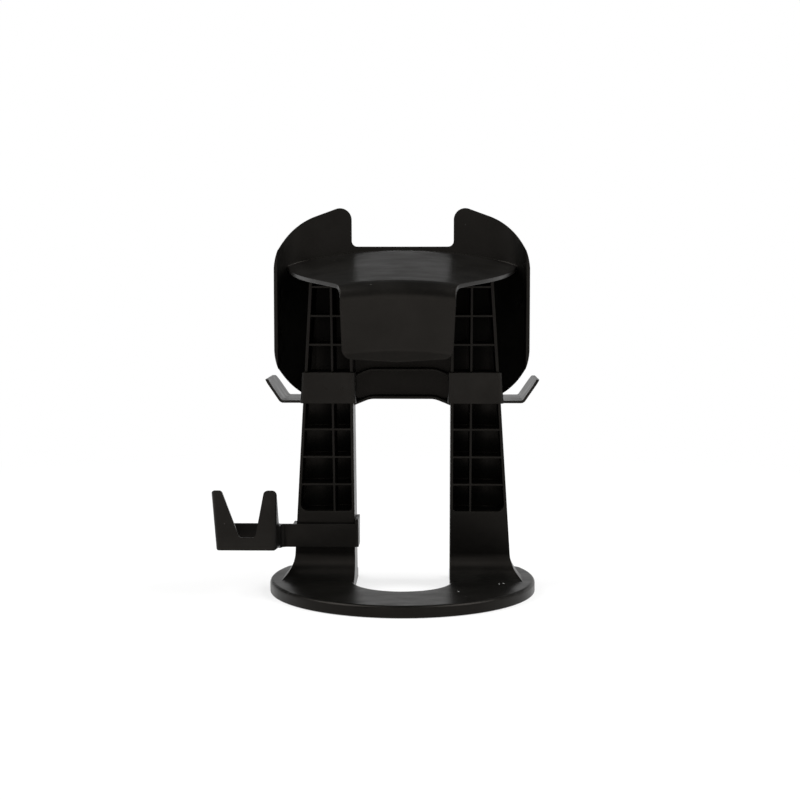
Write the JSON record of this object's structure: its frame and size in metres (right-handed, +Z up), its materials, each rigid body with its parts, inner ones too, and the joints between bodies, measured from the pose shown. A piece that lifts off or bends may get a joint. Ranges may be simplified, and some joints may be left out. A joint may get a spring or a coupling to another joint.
{
  "type": "headset display stand",
  "caption": "Free-standing headset stand: round base with a U cut, twin ribbed legs, curved face panel, strap hood, clip-on hooks and a side cradle.",
  "frame": {"origin": "middle of the whole stand's box, at the level it stands on", "axes": "+Z up; +Y towards the side that the headset's face rests on; +X to the right when seen from the back"},
  "size_m": [0.2276, 0.18, 0.2723],
  "materials": {
    "body_plastic": "satin to glossy black ABS",
    "clip_plastic": "satin black ABS",
    "cradle_plastic": "satin black ABS",
    "foot_rubber": "matt black anti-slip foam rubber"
  },
  "bodies": {
    "root": {"stand_body": "body_plastic", "hook_clip_left": "clip_plastic", "hook_clip_right": "clip_plastic", "side_cradle": "cradle_plastic", "foot_back_left": "foot_rubber", "foot_back_right": "foot_rubber", "foot_front_left": "foot_rubber", "foot_front_right": "foot_rubber"}
  },
  "joints": []
}
